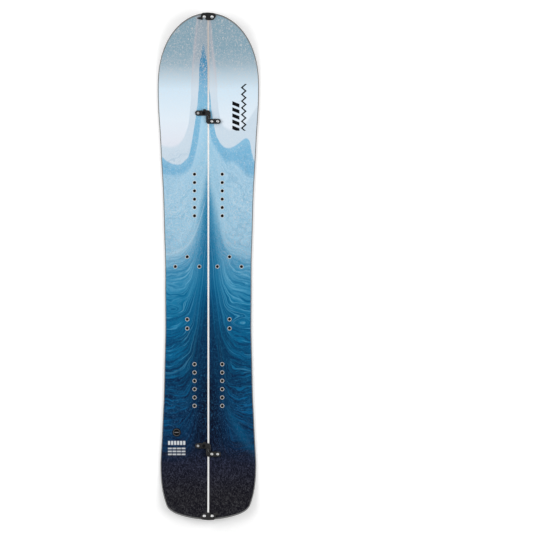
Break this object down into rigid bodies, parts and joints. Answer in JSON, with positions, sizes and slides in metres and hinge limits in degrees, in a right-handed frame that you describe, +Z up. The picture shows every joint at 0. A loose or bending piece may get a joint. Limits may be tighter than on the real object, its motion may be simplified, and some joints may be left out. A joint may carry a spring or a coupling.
{
  "type": "splitboard",
  "caption": "Directional splitboard: two ski-like halves with steel edges, joined by turning hooks at nose and tail and by turning centre latches; rows of threaded inserts for bindings",
  "frame": {"origin": "middle of the bounding box in x and y, at the underside of the flat running base", "axes": "+Y towards the nose along the seam, +X to the right half seen from above with the nose up, +Z up out of the top sheet"},
  "size_m": [0.3092, 1.5454, 0.0685],
  "materials": {
    "topsheet": "satin print under clear film",
    "base": "waxed sintered base",
    "steel": "ground",
    "inner_wall": "matt",
    "outer_wall": "matt",
    "core": "raw, laminated",
    "spacer": "matt",
    "insert": "black zinc passivated",
    "clip": "glass-filled nylon",
    "bolt": "polished",
    "dark_bolt": "black oxide",
    "washer": "matt"
  },
  "bodies": {
    "left_half": {"left_base": "base", "left_core": "core", "left_nose_spacer": "spacer", "left_tail_spacer": "spacer", "left_top_sheet": "topsheet", "left_outer_edge": "steel", "left_inner_edge": "steel", "left_outer_sidewall": "outer_wall", "left_inner_sidewall": "inner_wall", "left_front_inserts": "insert", "left_rear_inserts": "insert", "left_touring_inserts": "insert", "left_riser_inserts": "insert", "nose_catch_bolt": "bolt", "nose_catch_washer": "washer", "nose_catch_nut": "bolt", "tail_pivot_bolt": "bolt", "tail_pivot_washer": "washer", "tail_pivot_nut": "bolt", "front_latch_plate": "clip", "front_latch_pivot": "dark_bolt", "front_latch_screw": "bolt", "rear_latch_plate": "clip", "rear_latch_pivot": "dark_bolt", "rear_latch_screw": "bolt"},
    "right_half": {"right_base": "base", "right_core": "core", "right_nose_spacer": "spacer", "right_tail_spacer": "spacer", "right_top_sheet": "topsheet", "right_outer_edge": "steel", "right_inner_edge": "steel", "right_outer_sidewall": "outer_wall", "right_inner_sidewall": "inner_wall", "right_front_inserts": "insert", "right_rear_inserts": "insert", "right_touring_inserts": "insert", "right_riser_inserts": "insert", "nose_pivot_bolt": "bolt", "nose_pivot_washer": "washer", "nose_pivot_nut": "bolt", "tail_catch_bolt": "bolt", "tail_catch_washer": "washer", "tail_catch_nut": "bolt", "front_catch": "clip", "front_catch_screw_near": "bolt", "front_catch_screw_far": "bolt", "rear_catch": "clip", "rear_catch_screw_near": "bolt", "rear_catch_screw_far": "bolt"},
    "nose_hook": {"nose_hook": "clip"},
    "tail_hook": {"tail_hook": "clip"},
    "front_arm": {"front_latch_arm": "clip"},
    "rear_arm": {"rear_latch_arm": "clip"}
  },
  "joints": [
    {"name": "halves_slide", "type": "slide", "parent": "left_half", "child": "right_half", "axis": [1, 0, 0], "range_m": [0, 0.03]},
    {"name": "nose_hook_turn", "type": "hinge", "parent": "right_half", "child": "nose_hook", "pos_m": [0.0119, 0.76377, 0.05397], "axis": [0, 0.4384, -0.8988], "range_deg": [0, 180]},
    {"name": "tail_hook_turn", "type": "hinge", "parent": "left_half", "child": "tail_hook", "pos_m": [-0.0119, -0.76374, 0.03833], "axis": [0, -0.4359, -0.9], "range_deg": [0, 180]},
    {"name": "front_arm_turn", "type": "hinge", "parent": "left_half", "child": "front_arm", "pos_m": [-0.014, 0.46837, 0.008], "axis": [0, 0, 1], "range_deg": [0, 180]},
    {"name": "rear_arm_turn", "type": "hinge", "parent": "left_half", "child": "rear_arm", "pos_m": [-0.014, -0.54763, 0.008], "axis": [0, 0, 1], "range_deg": [0, 180]}
  ],
  "couplings": [
    {"joint": "nose_hook_turn", "follows": "halves_slide", "rad_per_m": 104.72},
    {"joint": "tail_hook_turn", "follows": "halves_slide", "rad_per_m": 104.72},
    {"joint": "front_arm_turn", "follows": "halves_slide", "rad_per_m": 104.72},
    {"joint": "rear_arm_turn", "follows": "halves_slide", "rad_per_m": 104.72}
  ]
}
